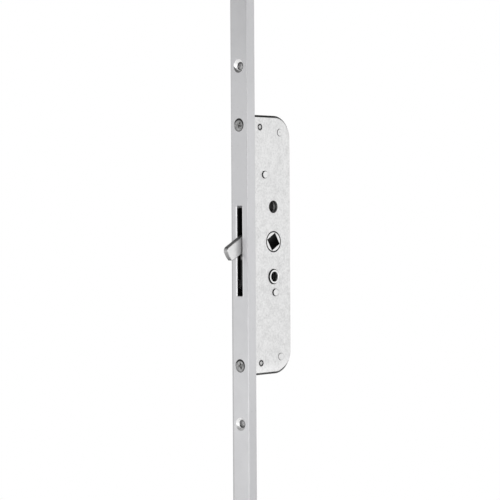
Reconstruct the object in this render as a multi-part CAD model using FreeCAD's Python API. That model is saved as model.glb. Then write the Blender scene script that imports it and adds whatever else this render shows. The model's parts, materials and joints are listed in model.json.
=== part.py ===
import FreeCAD, Part
import math
import os

# Cremone bolt with a swinging hook, for a door or window stile.
# X runs across the forend, Y goes back from its face into the stile, Z is up.
# The origin is on the forend's face, midway between the fixing holes.
# It stands part of the way through its throw: the hook is half out.

# Forend
forendWidth = 14.0
forendDepth = 6.8
forendLength = 560.0
webThick = 1.9
flangeThick = 1.2
forendEdgeRadius = 0.5
slotWidth = 4.55
slotTop = 24.6
slotBottom = -30.9
slotCorner = 0.5
slotEdge = 0.35
slotTopSlope = 1.8
innerFixingHeight = 109.0
outerFixingInset = 45.0
headDia = 8.2
fixingHoleDia = 4.8
countersinkAngle = 90.0

# Gearbox case
caseHeight = 159.0
caseRear = 40.0
caseCorner = 14.0
plateThick = 1.2
caseSideGap = 0.1
caseFrontGap = 0.1
rimChamfer = 1.2
rimFrontGap = 0.3

# Spindle and handle screws
backset = 24.0
hubHeight = 2.0
spindleSquare = 8.0
spindlePlay = 0.05
spindleTilt = 14.0
handleScrewPitch = 43.0
journalDia = 12.2
journalPlay = 0.08
hubChamfer = 0.2
plateChamfer = 0.15
hubCoreDia = 13.4
upperSleeveBore = 7.7
upperSleeveDia = 9.0
lowerSleeveBore = 6.1
lowerSleeveDia = 9.2
sleeveMouth = 0.9

# Pinion and racks
gearModule = 1.25
pinionTeeth = 15
pressureAngle = 20.0
addendumFactor = 0.8
dedendumFactor = 1.0
toothPlay = 0.2
flankSteps = 2
turnToLock = 59.0
turnToUnlock = 31.0
slideThick = 2.0
slideSidePlay = 0.15
slideGap = 0.3

# Hook
hookThick = 3.6
hookPivotY = 6.0
hookPivotZ = -24.0
hookLever = 10.0
pivotDia = 3.8
pivotPlay = 0.08
hookBossRadius = 3.6
hookReach = 11.9
hookTopAtFace = 5.2
hookTopSlope = 29.0
noseRadius = 2.6
beakTipY = -8.0
beakTipZ = -8.9
beakRootY = 0.5
beakRootZ = -4.5
noseEndAngle = 207.0
noseBulge = 0.4
catchHollow = 0.35
catchSlope = 1.2
rootRadiusOfBeak = 1.2
armFront = 2.4
armRear = 9.8
tailRadius = 13.4
tailHalfAngle = 34.0
drivePinDia = 4.0
drivePinPlay = 0.3
notchDepthPlay = 0.1
hubClearance = 0.7
hookEdge = 0.3
hookSpacerFlats = 5.2
hookSidePlay = 0.05

# Drive slides
frontRackLength = 27.0
rearRackLength = 27.0
frontSlideFront = 9.2
slideRearGap = 0.2
guidePinPlay = 0.2
guideWall = 3.0
guideEndWall = 2.0
fingerWidth = 5.4
armHeight = 5.0
tabLugGap = 0.6
upperArmZ = 34.0
lowerArmZ = -47.0

# Rods
rodThick = 2.6
rodGap = 0.15
rodWidth = 11.0
rodNeckWidth = 8.0
rodEndPastTab = 5.0
rodSlotPlay = 0.5
rodShoulderPlay = 1.0
rodOuterInset = 18.0
rodSlotWidth = 5.0
tabHeight = 6.0
tabPlay = 0.1
boltLength = 36.0
boltThick = 3.4
boltProudUnlocked = 0.5
boltTipTaper = 3.0
boltRivetDia = 3.5
boltRivetInset = 4.0
guideLength = 18.0
innerGuideHeight = 150.0
outerGuideInset = 12.0
guideReliefWall = 2.2
guideReliefDepth = 0.8

# Case rivets, as places on the side plate
lugRivetY = 12.6
lugRivetBelowScrew = 1.1
rearRivetY = 30.0
rearRivetInset = 10.2
guideRivetY = 16.5
guideRivetBelowTab = 11.85
tieRivetY = 25.2
tieRivetZ = -29.3
lugRivetDia = 4.4
bodyRivetDia = 4.5
rivetProud = 0.35
shankDia = 3.0
spacerFlats = 7.0
lugHeight = 10.0
lugRear = 16.6
caseScrewInset = 6.2
caseScrewDia = 4.0
caseScrewLength = 10.0
caseScrewRecess = 0.35

# Drawing aid: how far pieces of one solid reach into each other
overlap = 0.01

# Worked out from the sizes above
halfWidth = forendWidth / 2
channelHalf = halfWidth - flangeThick
caseHalf = channelHalf - caseSideGap
innerHalf = caseHalf - plateThick
headHalf = caseHalf + rivetProud
caseFront = webThick + caseFrontGap
caseTop = caseHeight / 2
caseScrewHeight = caseTop - caseScrewInset
lugRivetZ = caseScrewHeight - lugRivetBelowScrew
rearRivetZ = caseTop - rearRivetInset
fixingHeights = [innerFixingHeight, forendLength / 2 - outerFixingInset]
rearInner = caseRear - plateThick
slideOuter = innerHalf - slideSidePlay
slideInner = slideOuter - slideThick
hookHalf = hookThick / 2
pitchRadius = gearModule * pinionTeeth / 2
tipRadius = pitchRadius + addendumFactor * gearModule
rootRadius = pitchRadius - dedendumFactor * gearModule
toothPitch = math.pi * gearModule
lockTravel = pitchRadius * math.radians(turnToLock)
unlockTravel = pitchRadius * math.radians(turnToUnlock)
hookUnlock = math.degrees(unlockTravel / hookLever)
hookLock = math.degrees(lockTravel / hookLever)
frontPitchY = backset - pitchRadius
rearPitchY = backset + pitchRadius
rodFront = webThick + rodGap
rodBack = rodFront + rodThick
rodShoulder = caseTop + unlockTravel + rodShoulderPlay
rodOuter = forendLength / 2 - rodOuterInset
tabZ = caseScrewHeight - lugHeight / 2 - lockTravel - tabHeight / 2 - tabLugGap
rodInner = tabZ - rodEndPastTab
guideRivetZ = tabZ - guideRivetBelowTab
middleGuideHeight = (innerGuideHeight + fixingHeights[1]) / 2
guideHeights = [innerGuideHeight, middleGuideHeight, forendLength / 2 - outerGuideInset]
boltProud = unlockTravel + boltProudUnlocked
drivePinY = hookPivotY + hookLever
drivePinZ = hookPivotZ - (lockTravel - unlockTravel) / 2
upperScrewZ = hubHeight + handleScrewPitch / 2
lowerScrewZ = hubHeight - handleScrewPitch / 2


def vec(x, y, z):
    return FreeCAD.Vector(x, y, z)


def box(x0, x1, y0, y1, z0, z1):
    return Part.makeBox(x1 - x0, y1 - y0, z1 - z0, vec(x0, y0, z0))


def rodX(radius, x0, x1, y, z):
    return Part.makeCylinder(radius, x1 - x0, vec(x0, y, z), vec(1, 0, 0))


def rodY(radius, x, y0, y1, z):
    return Part.makeCylinder(radius, y1 - y0, vec(x, y0, z), vec(0, 1, 0))


def coneX(r0, r1, x0, x1, y, z):
    return Part.makeCone(r0, r1, x1 - x0, vec(x0, y, z), vec(1, 0, 0))


def polar(y, z, radius, angle):
    """A point at a distance and an angle, counted from +Y towards +Z."""
    turn = math.radians(angle)
    return (y + radius * math.cos(turn), z + radius * math.sin(turn))


def sideFace(edges):
    return Part.Face(Part.Wire(edges))


def plateFrom(edges, x0, x1):
    """A flat piece: an outline in the YZ plane, thickened along X."""
    face = sideFace(edges)
    face.translate(vec(x0, 0, 0))
    return face.extrude(vec(x1 - x0, 0, 0))


def line(a, b):
    return Part.LineSegment(vec(0, *a), vec(0, *b)).toShape()


def arc(a, middle, b):
    return Part.Arc(vec(0, *a), vec(0, *middle), vec(0, *b)).toShape()


def outline(points):
    loop = points + points[:1]
    return [line(a, b) for a, b in zip(loop, loop[1:])]


def hexX(acrossFlats, x0, x1, y, z):
    radius = acrossFlats / 2 / math.cos(math.radians(30))
    return plateFrom(outline([polar(y, z, radius, 60 * corner) for corner in range(6)]), x0, x1)


def slotX(halfWidthY, x0, x1, y, z0, z1):
    """An upright slot with round ends, cut along X."""
    slot = box(x0, x1, y - halfWidthY, y + halfWidthY, z0, z1)
    for z in (z0, z1):
        slot = slot.fuse(rodX(halfWidthY, x0, x1, y, z))
    return slot


def edgesWhere(shape, test):
    return [edge for edge in shape.Edges if test(edge)]


def cleaned(shape):
    return shape.removeSplitter()


# Forend: U-section, countersunk holes, hook slot with eased edges
def countersink(z):
    depth = (headDia - fixingHoleDia) / 2 / math.tan(math.radians(countersinkAngle / 2))
    cone = Part.makeCone(headDia / 2, fixingHoleDia / 2, depth, vec(0, 0, z), vec(0, 1, 0))
    return cone.fuse(rodY(fixingHoleDia / 2, 0, depth - overlap, webThick + 1, z))


def makeForend():
    half = forendLength / 2
    body = box(-halfWidth, halfWidth, 0, forendDepth, -half, half)
    body = body.cut(box(-channelHalf, channelHalf, webThick, forendDepth + 1, -half - 1, half + 1))
    corners = edgesWhere(body, lambda e: abs(e.BoundBox.YMax) < 0.01 and e.BoundBox.ZLength > half
                         and abs(abs(e.BoundBox.XMax) - halfWidth) < 0.01)
    body = body.makeFillet(forendEdgeRadius, corners)
    # The slot's upper end slopes down towards the back
    lean = slotTopSlope / webThick
    back = webThick + 1
    side = [(-1, slotBottom), (-1, slotTop + lean), (back, slotTop - lean * back), (back, slotBottom)]
    slot = plateFrom(outline(side), -slotWidth / 2, slotWidth / 2)
    slot = slot.makeFillet(slotCorner, edgesWhere(slot, lambda e: e.BoundBox.YLength > webThick))
    body = body.cut(slot)
    rims = edgesWhere(body, lambda e: abs(e.BoundBox.YMax) < 0.01 and abs(e.BoundBox.YMin) < 0.01
                      and e.BoundBox.XMax < slotWidth / 2 + 0.1
                      and e.BoundBox.XMin > -slotWidth / 2 - 0.1
                      and abs(e.BoundBox.ZMax) < half - 1)
    body = body.makeChamfer(slotEdge, rims)
    for z in fixingHeights + [caseScrewHeight]:
        for side in (1, -1):
            body = body.cut(countersink(side * z))
    return body


# Case: near shell with its rim, far cover plate
def sideOutline(rear, corner, top, front):
    """The side plate's outline: straight at the front, rounded at the rear."""
    lowMiddle = polar(rear - corner, -top + corner, corner, -45)
    highMiddle = polar(rear - corner, top - corner, corner, 45)
    return [
        line((front, top), (front, -top)),
        line((front, -top), (rear - corner, -top)),
        arc((rear - corner, -top), lowMiddle, (rear, -top + corner)),
        line((rear, -top + corner), (rear, top - corner)),
        arc((rear, top - corner), highMiddle, (rear - corner, top)),
        line((rear - corner, top), (front, top)),
    ]


def sidePlateHoles(side):
    """Holes that both side plates share, a little longer than the plate."""
    x0, x1 = sorted((side * (innerHalf - 1), side * (caseHalf + 1)))
    holes = [
        rodX(journalDia / 2 + journalPlay, x0, x1, backset, hubHeight),
        rodX(upperSleeveBore / 2, x0, x1, backset, upperScrewZ),
        rodX(lowerSleeveDia / 2, x0, x1, backset, lowerScrewZ),
        rodX(pivotDia / 2, x0, x1, hookPivotY, hookPivotZ),
        rodX(bodyRivetDia / 2, x0, x1, guideRivetY, guideRivetZ),
        rodX(bodyRivetDia / 2, x0, x1, tieRivetY, tieRivetZ),
    ]
    for end in (1, -1):
        holes.append(rodX(lugRivetDia / 2, x0, x1, lugRivetY, end * lugRivetZ))
        holes.append(rodX(bodyRivetDia / 2, x0, x1, rearRivetY, end * rearRivetZ))
    return holes


def makeCaseShell():
    outer = plateFrom(sideOutline(caseRear, caseCorner, caseTop, caseFront), -innerHalf, caseHalf)
    bend = edgesWhere(outer, lambda e: abs(e.BoundBox.XMin - caseHalf) < 0.01
                      and abs(e.BoundBox.XMax - caseHalf) < 0.01
                      and e.BoundBox.YMax > caseFront + 1)
    outer = outer.makeChamfer(rimChamfer, bend)
    inside = plateFrom(
        sideOutline(rearInner, caseCorner - plateThick, caseTop - plateThick, caseFront - 1),
        -innerHalf - 1, innerHalf)
    shell = outer.cut(inside)
    # The rim stops behind the forend, so that the rods can pass in front of it
    rimFront = forendDepth + rimFrontGap
    for end in (1, -1):
        z0, z1 = sorted((end * (caseTop - plateThick - 0.1), end * (caseTop + 1)))
        shell = shell.cut(box(-innerHalf - 1, innerHalf, caseFront - 1, rimFront, z0, z1))
    for hole in sidePlateHoles(1):
        shell = shell.cut(hole)
    narrow = journalDia / 2 + journalPlay
    shell = shell.cut(coneX(narrow, narrow + plateChamfer, caseHalf - plateChamfer, caseHalf,
                            backset, hubHeight))
    return cleaned(shell)


def makeCaseCover():
    cover = plateFrom(sideOutline(caseRear, caseCorner, caseTop, caseFront), -caseHalf, -innerHalf)
    for hole in sidePlateHoles(-1):
        cover = cover.cut(hole)
    return cleaned(cover)


# Lug blocks: threaded for the case screws, held by the front rivets
def makeLugBlock(end):
    z0, z1 = sorted((end * (caseScrewHeight - lugHeight / 2), end * (caseTop - plateThick)))
    block = box(-innerHalf, innerHalf, rodBack + rodGap, lugRear, z0, z1)
    block = block.cut(rodY(caseScrewDia / 2, 0, 0, caseScrewLength, end * caseScrewHeight))
    return block.cut(rodX(lugRivetDia / 2, -innerHalf - 1, innerHalf + 1,
                          lugRivetY, end * lugRivetZ))


def makeCaseScrews():
    screws = []
    depth = (headDia - caseScrewDia) / 2 / math.tan(math.radians(countersinkAngle / 2))
    top = caseScrewRecess
    for end in (1, -1):
        z = end * caseScrewHeight
        head = Part.makeCone(headDia / 2 - top, caseScrewDia / 2, depth - top, vec(0, top, z),
                             vec(0, 1, 0))
        shank = rodY(caseScrewDia / 2, 0, depth - overlap, caseScrewLength, z)
        screws.append(cleaned(head.fuse(shank)))
    return Part.makeCompound(screws)


# Rivets: flush in the lugs, a little proud of the plates elsewhere
def caseRivet(dia, half, y, z):
    return rodX(dia / 2, -half, half, y, z)


def makeLugRivets():
    return Part.makeCompound([caseRivet(lugRivetDia, caseHalf, lugRivetY, end * lugRivetZ)
                              for end in (1, -1)])


def makeRearRivets():
    return Part.makeCompound([caseRivet(bodyRivetDia, headHalf, rearRivetY, end * rearRivetZ)
                              for end in (1, -1)])


def makeRearSpacers():
    spacers = []
    for end in (1, -1):
        z = end * rearRivetZ
        spacer = hexX(spacerFlats, -innerHalf, innerHalf, rearRivetY, z)
        spacers.append(spacer.cut(rodX(bodyRivetDia / 2, -innerHalf - 1, innerHalf + 1, rearRivetY, z)))
    return Part.makeCompound(spacers)


def makeGuideRivet():
    """Waisted between the plates, where the upper slide runs along it."""
    rivet = rodX(shankDia / 2, -innerHalf, innerHalf, guideRivetY, guideRivetZ)
    for side in (1, -1):
        x0, x1 = sorted((side * innerHalf, side * headHalf))
        rivet = rivet.fuse(rodX(bodyRivetDia / 2, x0, x1, guideRivetY, guideRivetZ))
    return cleaned(rivet)


def makeSleeve(dia, bore, half, z):
    sleeve = rodX(dia / 2, -half, half, backset, z)
    return sleeve.cut(rodX(bore / 2, -half - 1, half + 1, backset, z))


def makeLowerSleeve():
    """It goes through both plates, and its mouths lead the screw in."""
    sleeve = makeSleeve(lowerSleeveDia, lowerSleeveBore, headHalf, lowerScrewZ)
    bore = lowerSleeveBore / 2
    sleeve = sleeve.cut(coneX(bore, bore + sleeveMouth, headHalf - sleeveMouth, headHalf,
                              backset, lowerScrewZ))
    return sleeve.cut(coneX(bore + sleeveMouth, bore, -headHalf, sleeveMouth - headHalf,
                            backset, lowerScrewZ))


# Follower: toothed on both sides of a plain core, with a square hole through
def involutePoint(baseRadius, radius):
    """Angle, in radians, that an involute has turned through at a radius."""
    spread = math.acos(min(1.0, baseRadius / radius))
    return math.tan(spread) - spread


def pinionOutline():
    """The pinion's section: involute flanks, short teeth, radial roots."""
    baseRadius = pitchRadius * math.cos(math.radians(pressureAngle))
    thickness = toothPitch / 2 - toothPlay / 2
    halfAtPitch = thickness / 2 / pitchRadius
    atPitch = involutePoint(baseRadius, pitchRadius)
    radii = [baseRadius + (tipRadius - baseRadius) * step / flankSteps
             for step in range(flankSteps + 1)]
    halves = [halfAtPitch + atPitch - involutePoint(baseRadius, r) for r in radii]
    points = []
    for tooth in range(pinionTeeth):
        middle = -90.0 + 360.0 * tooth / pinionTeeth
        flank = [(rootRadius, halves[0])] + list(zip(radii, halves))
        for radius, half in flank:
            points.append((radius, middle - math.degrees(half)))
        for radius, half in reversed(flank):
            points.append((radius, middle + math.degrees(half)))
    places = [polar(backset, hubHeight, radius, angle) for radius, angle in points]
    return outline(places)


def makeFollower():
    body = rodX(hubCoreDia / 2, -slideOuter, slideOuter, backset, hubHeight)
    for side in (1, -1):
        x0, x1 = sorted((side * slideInner, side * slideOuter))
        body = body.fuse(plateFrom(pinionOutline(), x0, x1))
        x0, x1 = sorted((side * (slideOuter - overlap), side * caseHalf))
        body = body.fuse(rodX(journalDia / 2, x0, x1, backset, hubHeight))
    body = cleaned(body)
    rims = edgesWhere(body, lambda e: abs(abs(e.BoundBox.XMin) - caseHalf) < 0.01
                      and abs(e.BoundBox.XLength) < 0.01)
    body = body.makeChamfer(hubChamfer, rims)
    side = spindleSquare + spindlePlay
    square = box(-caseHalf - 1, caseHalf + 1, -side / 2, side / 2, -side / 2, side / 2)
    square.rotate(vec(0, 0, 0), vec(1, 0, 0), 45 - spindleTilt)
    square.translate(vec(0, backset, hubHeight))
    return body.cut(square)


# Racks: straight-flanked teeth that face the hub and mesh with the pinion
def rackEdge(pitchY, towards, z0, z1):
    """Points up a toothed edge; towards is +1 where the teeth point to +Y."""
    slope = math.tan(math.radians(pressureAngle))
    tip = addendumFactor * gearModule
    root = dedendumFactor * gearModule
    half = (toothPitch / 2 - toothPlay / 2) / 2
    points = [(pitchY - towards * root, z0)]
    count = int((z1 - z0) / toothPitch)
    # The pinion has a gap or a tooth at each side, depending on its count
    angleOfSide = 0.0 if towards < 0 else 180.0
    phase = ((angleOfSide + 90.0) % (360.0 / pinionTeeth)) * pinionTeeth / 360.0
    sense = 1 if towards < 0 else -1
    first = hubHeight - sense * phase * toothPitch + toothPitch / 2
    while first - toothPitch > z0 + half + root * slope:
        first -= toothPitch
    while first < z0 + half + root * slope:
        first += toothPitch
    for tooth in range(count + 1):
        middle = first + tooth * toothPitch
        if middle + half + root * slope > z1:
            break
        points.append((pitchY - towards * root, middle - half - root * slope))
        points.append((pitchY + towards * tip, middle - half + tip * slope))
        points.append((pitchY + towards * tip, middle + half - tip * slope))
        points.append((pitchY - towards * root, middle + half + root * slope))
    points.append((pitchY - towards * root, z1))
    return points


def rodTab(x0, x1, y1, z):
    """The tongue of a slide that reaches forward into its rod."""
    return box(x0, x1, rodFront, y1, z - tabHeight / 2, z + tabHeight / 2)


def makeUpperSlide():
    rear = rearInner - slideRearGap
    limbFront = rearPitchY + dedendumFactor * gearModule
    z0 = hubHeight - rearRackLength / 2 - (lockTravel - unlockTravel) / 2
    z1 = z0 + rearRackLength
    teeth = rackEdge(rearPitchY, -1, z0, z1)
    limb = teeth + [(limbFront, upperArmZ + armHeight), (rear, upperArmZ + armHeight),
                    (rear, lowerArmZ), (limbFront, lowerArmZ)]
    slide = plateFrom(outline(limb), slideInner, slideOuter)
    slotLow = guideRivetZ - lockTravel
    slotHigh = guideRivetZ + unlockTravel
    guideFront = guideRivetY - shankDia / 2 - guideWall
    guideRear = backset - upperSleeveDia / 2 - slideGap
    slide = slide.fuse(box(slideInner, slideOuter, guideFront, guideRear,
                           slotLow - shankDia / 2 - guideEndWall, tabZ + tabHeight / 2))
    slide = slide.fuse(box(slideInner, slideOuter, guideFront, rear,
                           upperArmZ, upperArmZ + armHeight))
    slide = slide.fuse(rodTab(slideInner, slideOuter, guideFront + overlap, tabZ))
    slide = slide.cut(slotX(shankDia / 2 + guidePinPlay, slideInner - 1, slideOuter + 1,
                            guideRivetY, slotLow - guidePinPlay, slotHigh + guidePinPlay))
    # The tail goes under the lower sleeve and up again to the drive pin
    fingerFront = drivePinY - fingerWidth / 2
    fingerRear = drivePinY + fingerWidth / 2
    slide = slide.fuse(box(slideInner, slideOuter, fingerFront, rear,
                           lowerArmZ, lowerArmZ + armHeight))
    slide = slide.fuse(box(slideInner, slideOuter, fingerFront, fingerRear, lowerArmZ, drivePinZ))
    slide = slide.fuse(rodX(fingerWidth / 2, slideInner, slideOuter, drivePinY, drivePinZ))
    slide = slide.cut(rodX(drivePinDia / 2, slideInner - 1, slideOuter + 1, drivePinY, drivePinZ))
    return cleaned(slide)


def makeLowerSlide():
    z0 = hubHeight - frontRackLength / 2 + (lockTravel - unlockTravel) / 2
    z1 = z0 + frontRackLength
    rackRear = frontPitchY - dedendumFactor * gearModule
    teeth = rackEdge(frontPitchY, 1, z0, z1)
    bottom = -tabZ - tabHeight / 2
    body = [(rackRear, bottom)] + teeth + [(frontSlideFront, z1), (frontSlideFront, bottom)]
    slide = plateFrom(outline(body), -slideOuter, -slideInner)
    slide = slide.fuse(rodTab(-slideOuter, -slideInner, frontSlideFront + overlap, -tabZ))
    return cleaned(slide)


def makeDrivePin():
    return rodX(drivePinDia / 2, -hookHalf, slideOuter, drivePinY, drivePinZ)


# Hook: beak, arm round the hub, boss on the pivot and forked tail
def hookOutline():
    """The beak and arm at rest; the tail and boss are added round the pivot."""
    slope = math.tan(math.radians(hookTopSlope))
    noseY = -hookReach + noseRadius
    noseZ = hookTopAtFace + slope * noseY - noseRadius / math.cos(math.radians(hookTopSlope))
    noseStart = polar(noseY, noseZ, noseRadius, 90 + hookTopSlope)
    noseMiddle = polar(noseY, noseZ, noseRadius, (90 + hookTopSlope + noseEndAngle) / 2)
    noseEnd = polar(noseY, noseZ, noseRadius, noseEndAngle)
    tip = (beakTipY, beakTipZ)
    root = (beakRootY, beakRootZ)
    rootCorner = (armFront, beakRootZ - (armFront - beakRootY) * catchSlope)
    # The front is bowed out a little and the catch hollowed
    frontMiddle = ((noseEnd[0] + tip[0] - noseBulge) / 2, (noseEnd[1] + tip[1] - noseBulge) / 2)
    catchMiddle = ((tip[0] + root[0]) / 2, (tip[1] + root[1]) / 2 - catchHollow)
    topInner = (armRear, hookTopAtFace + slope * armRear)
    return [
        line(topInner, noseStart),
        arc(noseStart, noseMiddle, noseEnd),
        arc(noseEnd, frontMiddle, tip),
        arc(tip, catchMiddle, root),
        line(root, rootCorner),
        line(rootCorner, (armFront, hookPivotZ)),
        line((armFront, hookPivotZ), (armRear, hookPivotZ)),
        line((armRear, hookPivotZ), topInner),
    ]


def hubRelief():
    """Room for the hub, where it lies in the hook's own frame once retracted."""
    hubY = backset - hookPivotY
    hubZ = hubHeight - hookPivotZ
    bearing = math.degrees(math.atan2(hubZ, hubY)) + hookUnlock
    reliefY, reliefZ = polar(hookPivotY, hookPivotZ, math.hypot(hubY, hubZ), bearing)
    return rodX(hubCoreDia / 2 + hubClearance, -hookHalf - 1, hookHalf + 1, reliefY, reliefZ)


def tailNotch(bearing):
    """Round at the bottom, opening out to the mouth as the pin swings."""
    room = drivePinDia / 2 + drivePinPlay
    halfTravel = (lockTravel + unlockTravel) / 2
    mouth = math.hypot(hookLever, halfTravel)
    lead = halfTravel / hookLever - math.atan2(halfTravel, hookLever)
    mouthHalf = room + mouth * math.sin(lead)
    bottom = hookLever - notchDepthPlay
    past = tailRadius + 2
    sides = [(bottom, room), (mouth, mouthHalf), (past, mouthHalf)]
    sides += [(reach, -half) for reach, half in reversed(sides)]
    corners = []
    for reach, half in sides:
        y, z = polar(hookPivotY, hookPivotZ, reach, bearing)
        corners.append(polar(y, z, half, bearing + 90))
    bottomY, bottomZ = polar(hookPivotY, hookPivotZ, bottom, bearing)
    notch = rodX(room, -hookHalf - 1, hookHalf + 1, bottomY, bottomZ)
    return notch.fuse(plateFrom(outline(corners), -hookHalf - 1, hookHalf + 1))


def makeHook():
    hook = plateFrom(hookOutline(), -hookHalf, hookHalf)
    root = edgesWhere(hook, lambda e: e.BoundBox.XLength > hookThick / 2
                      and abs(e.BoundBox.YMax - armFront) < 0.01 and e.BoundBox.ZMax > hookPivotZ + 1)
    hook = hook.makeFillet(rootRadiusOfBeak, root)
    hook = hook.cut(hubRelief())
    hook = max(hook.Solids, key=lambda solid: solid.Volume)
    # Ease the edges that show
    shown = edgesWhere(hook, lambda e: e.BoundBox.XLength < 0.01
                       and e.BoundBox.YMax < armFront - 0.1)
    hook = hook.makeChamfer(hookEdge, shown)
    hook = hook.fuse(rodX(hookBossRadius, -hookHalf, hookHalf, hookPivotY, hookPivotZ))
    centre = (hookPivotY, hookPivotZ)
    bearing = -math.degrees((lockTravel - unlockTravel) / 2 / hookLever)
    low = polar(*centre, tailRadius, bearing - tailHalfAngle)
    middle = polar(*centre, tailRadius, bearing)
    high = polar(*centre, tailRadius, bearing + tailHalfAngle)
    tail = plateFrom([line(centre, low), arc(low, middle, high), line(high, centre)],
                     -hookHalf, hookHalf)
    hook = cleaned(hook.fuse(tail)).cut(tailNotch(bearing))
    return cleaned(hook.cut(rodX(pivotDia / 2 + pivotPlay, -hookHalf - 1, hookHalf + 1, *centre)))


def makePivotPin():
    return rodX(pivotDia / 2, -caseHalf, caseHalf, hookPivotY, hookPivotZ)


def makeHookSpacers():
    rings = []
    for side in (1, -1):
        x0, x1 = sorted((side * (hookHalf + hookSidePlay), side * innerHalf))
        ring = hexX(hookSpacerFlats, x0, x1, hookPivotY, hookPivotZ)
        rings.append(ring.cut(rodX(pivotDia / 2, x0 - 1, x1 + 1, hookPivotY, hookPivotZ)))
    return Part.makeCompound(rings)


# Rods: flat bars in the channel, slotted round the screws
def makeRod(end):
    """One rod; end is +1 for the upper and -1 for the lower."""
    def span(a, b):
        return sorted((end * a, end * b))
    rod = box(-rodNeckWidth / 2, rodNeckWidth / 2, rodFront, rodBack, *span(rodInner, rodShoulder))
    rod = rod.fuse(box(-rodWidth / 2, rodWidth / 2, rodFront, rodBack, *span(rodShoulder, rodOuter)))
    for height in [caseScrewHeight] + fixingHeights:
        low = height - lockTravel - rodSlotWidth / 2 - rodSlotPlay
        high = height + unlockTravel + rodSlotWidth / 2 + rodSlotPlay
        rod = rod.cut(box(-rodSlotWidth / 2, rodSlotWidth / 2, rodFront - 1, rodBack + 1,
                          *span(low, high)))
    x0, x1 = sorted((end * (slideInner - tabPlay), end * (rodNeckWidth / 2 + 1)))
    z0, z1 = span(tabZ - tabHeight / 2 - tabPlay, tabZ + tabHeight / 2 + tabPlay)
    rod = rod.cut(box(x0, x1, rodFront - 1, rodBack + 1, z0, z1))
    return cleaned(rod.cut(makeBoltRivet(end)))


def makeShootBolt(end):
    outer = forendLength / 2 + boltProud
    inner = outer - boltLength
    back = rodFront + boltThick
    z0, z1 = sorted((end * inner, end * outer))
    bolt = box(-rodWidth / 2, rodWidth / 2, rodFront, back, z0, z1)
    rims = edgesWhere(bolt, lambda e: abs(e.BoundBox.ZMax - end * outer) < 0.01
                      and abs(e.BoundBox.ZLength) < 0.01 and e.BoundBox.YLength > 1)
    bolt = bolt.makeChamfer(boltTipTaper, rims)
    # The rod's end lies in a rebate on the bolt's front
    r0, r1 = sorted((end * (inner - 1), end * (rodOuter + 0.1)))
    bolt = bolt.cut(box(-rodWidth, rodWidth, rodFront - 1, rodBack, r0, r1))
    return bolt.cut(makeBoltRivet(end))


def makeBoltRivet(end):
    """Flush at both ends, to pass the guides."""
    return rodY(boltRivetDia / 2, 0, rodFront, rodFront + boltThick, end * (rodOuter - boltRivetInset))


def makeRodGuides():
    guides = []
    for height in guideHeights:
        behindBolt = height > rodOuter - guideLength
        front = rodFront + boltThick + rodGap if behindBolt else rodBack + rodGap
        for end in (1, -1):
            z = end * height
            guide = box(-channelHalf, channelHalf, front, forendDepth,
                        z - guideLength / 2, z + guideLength / 2)
            reliefHalf = guideLength / 2 - guideReliefWall
            relief = box(-channelHalf + guideReliefWall, channelHalf - guideReliefWall,
                         forendDepth - guideReliefDepth, forendDepth + 1,
                         z - reliefHalf, z + reliefHalf)
            guides.append(guide.cut(relief))
    return Part.makeCompound(guides)


def buildAll():
    return {
        "forend": makeForend(),
        "case_shell": makeCaseShell(),
        "case_cover": makeCaseCover(),
        "upper_lug_block": makeLugBlock(1),
        "lower_lug_block": makeLugBlock(-1),
        "case_screws": makeCaseScrews(),
        "lug_rivets": makeLugRivets(),
        "rear_rivets": makeRearRivets(),
        "rear_spacers": makeRearSpacers(),
        "slide_guide_rivet": makeGuideRivet(),
        "tie_rivet": caseRivet(bodyRivetDia, headHalf, tieRivetY, tieRivetZ),
        "upper_screw_sleeve": makeSleeve(upperSleeveDia, upperSleeveBore, innerHalf, upperScrewZ),
        "lower_screw_sleeve": makeLowerSleeve(),
        "follower": makeFollower(),
        "upper_drive_slide": makeUpperSlide(),
        "hook_drive_pin": makeDrivePin(),
        "lower_drive_slide": makeLowerSlide(),
        "hook_bolt": makeHook(),
        "hook_pivot_pin": makePivotPin(),
        "hook_spacers": makeHookSpacers(),
        "upper_rod": makeRod(1),
        "lower_rod": makeRod(-1),
        "upper_shoot_bolt": makeShootBolt(1),
        "lower_shoot_bolt": makeShootBolt(-1),
        "upper_bolt_rivet": makeBoltRivet(1),
        "lower_bolt_rivet": makeBoltRivet(-1),
        "rod_guides": makeRodGuides(),
    }


def main():
    os.makedirs("parts", exist_ok=True)
    print("travel to lock %.3f, to unlock %.3f" % (lockTravel, unlockTravel))
    print("hook to lock %.2f, to unlock %.2f" % (hookLock, hookUnlock))
    for name, shape in buildAll().items():
        shape.exportStep("parts/" + name + ".step")
        print(name, len(shape.Solids), "solids", shape.isValid(), round(shape.Volume, 1))


main()
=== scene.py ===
import json
import math

import bpy
from mathutils import Matrix, Vector


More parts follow.
